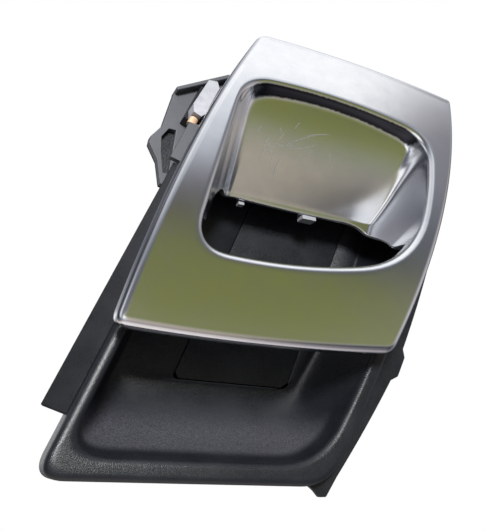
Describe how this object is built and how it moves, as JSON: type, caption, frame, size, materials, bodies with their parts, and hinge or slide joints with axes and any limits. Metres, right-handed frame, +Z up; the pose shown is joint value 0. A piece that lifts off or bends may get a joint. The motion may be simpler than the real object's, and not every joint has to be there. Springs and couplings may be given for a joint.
{
  "type": "car interior door handle",
  "caption": "Slanted satin door-handle plate with a finger scoop, hinged along its top over a black moulded pocket with a screw cover.",
  "frame": {"origin": "axis of the main fixing screw at the back face that lies against the door", "axes": "+X to the right along the hinge, +Z up, the face towards -Y; +Y runs along the fixing screw into the door"},
  "size_m": [0.1703, 0.0677, 0.187],
  "materials": {
    "satin_metal": "satin chrome-look plating with a fine even grain, worn and scratched in the scoop",
    "grained_black": "moulded black plastic with a fine leather-like grain",
    "smooth_black": "smooth black moulded plastic",
    "grey_plastic": "light grey moulded plastic",
    "zinc_steel": "zinc-plated steel",
    "spring_steel": "bright drawn spring wire and strip",
    "rubber": "black rubber",
    "foam": "closed-cell black foam",
    "clear_guide": "clear moulded light guide",
    "amber_lamp": "warm tinted lamp",
    "acetal": "natural white acetal"
  },
  "bodies": {
    "base": {"housing": "grained_black", "screw_cover": "grained_black", "main_screw": "zinc_steel", "screw_seal": "foam", "hinge_pin": "zinc_steel", "pin_clip": "spring_steel", "return_spring": "spring_steel", "left_buffer": "rubber", "right_buffer": "rubber", "lamp_bracket": "grained_black", "bracket_screw": "zinc_steel", "light_guide": "clear_guide", "lamp_led": "amber_lamp", "lamp_socket": "smooth_black", "cable_clip": "smooth_black", "retaining_clips": "spring_steel"},
    "lever": {"lever_shell": "satin_metal", "lever_carrier": "grey_plastic", "carrier_screws": "zinc_steel", "cable_arm": "zinc_steel", "arm_rivet": "zinc_steel", "left_bush": "acetal", "right_bush": "acetal"}
  },
  "joints": [
    {"name": "lever_hinge", "type": "hinge", "parent": "base", "child": "lever", "pos_m": [0.02747, -0.026, 0.088], "axis": [-1, 0, 0], "range_deg": [0, 22], "stiffness_Nm_per_rad": 0.12, "springref_deg": -28.65, "deforming": ["return_spring"]}
  ]
}
